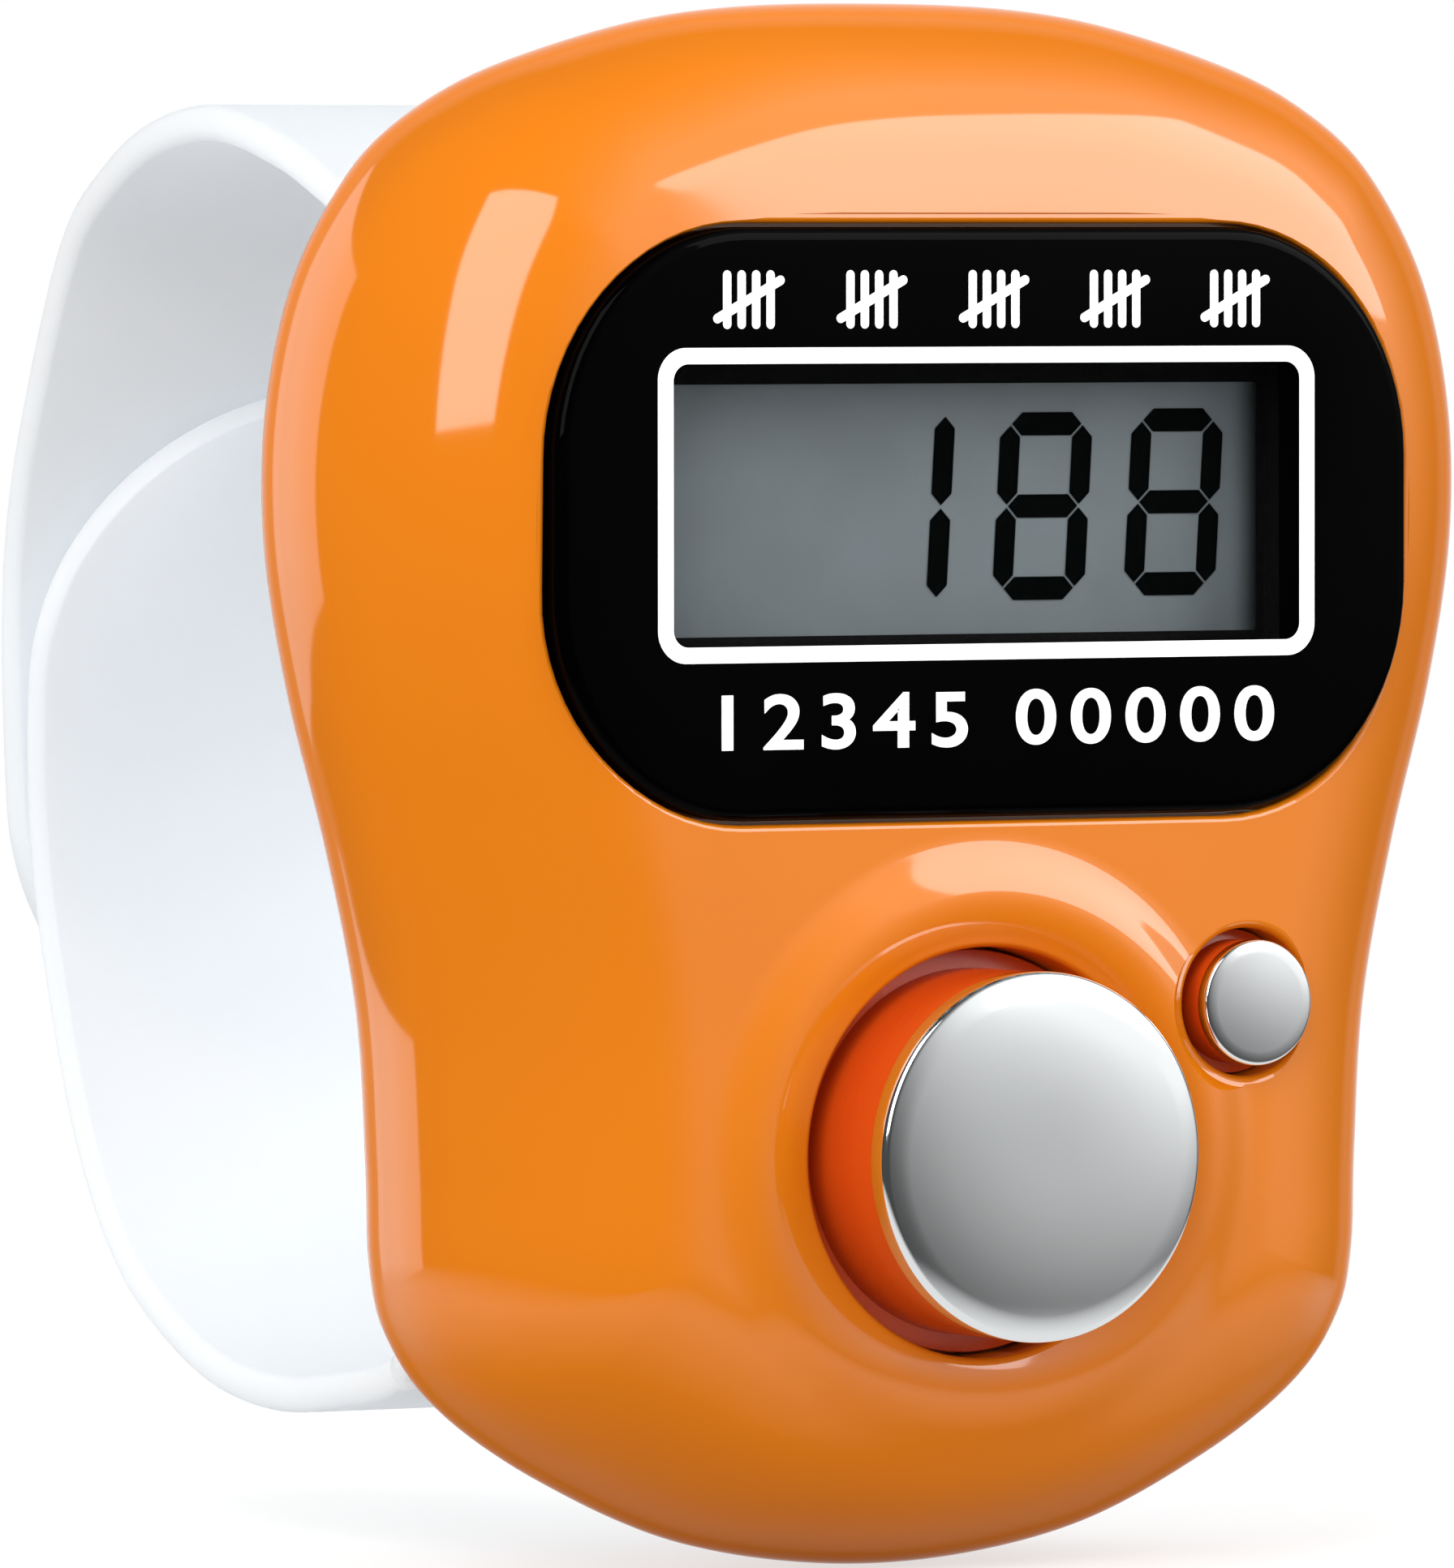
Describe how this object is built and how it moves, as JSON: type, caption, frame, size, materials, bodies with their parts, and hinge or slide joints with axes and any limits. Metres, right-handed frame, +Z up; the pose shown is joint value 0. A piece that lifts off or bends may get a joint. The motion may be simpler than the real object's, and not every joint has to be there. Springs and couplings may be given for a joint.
{
  "type": "digital tally counter",
  "caption": "Pocket tally counter worn on a finger: rounded orange case, small numeric display, one large and one small plated button, curled springy band behind.",
  "frame": {"origin": "middle of the finger hole of the band", "axes": "+Z up along the case, display and buttons face -Y, +X is the axis of the finger hole"},
  "size_m": [0.0348, 0.0412, 0.0417],
  "materials": {
    "orange_case": "moulded, polished",
    "lens": "polished acrylic, printed black behind with a clear window",
    "display_glass": "polished",
    "reflector": "satin film",
    "black_plastic": "moulded",
    "black_foam": "die cut, matte",
    "grey_rubber": "matte, fine stripes",
    "board": "solder mask",
    "resin": "cast",
    "ceramic": "fired",
    "chrome": "plated, mirror bright",
    "silicone": "translucent, matte",
    "carbon": "matte",
    "steel": "bright",
    "nickel": "nickel plated strip",
    "band": "milky, slightly translucent, satin"
  },
  "bodies": {
    "case": {"front_shell": "orange_case", "back_cover": "orange_case", "display_lens": "lens", "lcd_front_glass": "display_glass", "lcd_rear_glass": "display_glass", "lcd_reflector": "reflector", "lcd_holder": "black_plastic", "window_gasket": "black_foam", "zebra_connector": "grey_rubber", "circuit_board": "board", "chip_blob": "resin", "timing_resistor": "resin", "supply_capacitor": "ceramic", "count_dome": "silicone", "reset_dome": "silicone", "button_cell": "steel", "battery_minus_spring": "nickel", "battery_plus_clip": "nickel", "band_saddle": "band", "case_screw_1": "steel", "case_screw_2": "steel", "case_screw_3": "steel", "case_screw_4": "steel", "board_screw_1": "steel", "board_screw_2": "steel", "board_screw_3": "steel"},
    "count_button": {"count_button": "chrome", "count_contact_pill": "carbon"},
    "reset_button": {"reset_button": "chrome", "reset_contact_pill": "carbon"},
    "battery_door": {"battery_door": "orange_case"},
    "band_upper_arm": {"band_upper_arm": "band"},
    "band_lower_arm": {"band_lower_arm": "band"}
  },
  "joints": [
    {"name": "count_press", "type": "slide", "parent": "case", "child": "count_button", "axis": [0, 1, 0], "range_m": [0, 0.0012], "stiffness_N_per_m": 1200, "springref_m": -0.0002, "deforming": ["count_dome"]},
    {"name": "reset_press", "type": "slide", "parent": "case", "child": "reset_button", "axis": [0, 1, 0], "range_m": [0, 0.0008], "stiffness_N_per_m": 1000, "springref_m": -0.0002, "deforming": ["reset_dome"]},
    {"name": "battery_door_turn", "type": "hinge", "parent": "case", "child": "battery_door", "pos_m": [0, -0.0121, -0.00065], "axis": [0, 1, 0], "range_deg": [0, 45]},
    {"name": "upper_arm_open", "type": "hinge", "parent": "case", "child": "band_upper_arm", "pos_m": [0, -0.00983, 0.01364], "axis": [1, 0, 0], "range_deg": [0, 25], "stiffness_Nm_per_rad": 0.02},
    {"name": "lower_arm_squeeze", "type": "hinge", "parent": "case", "child": "band_lower_arm", "pos_m": [0, -0.0093, -0.01595], "axis": [1, 0, 0], "range_deg": [0, 8], "stiffness_Nm_per_rad": 0.02}
  ]
}
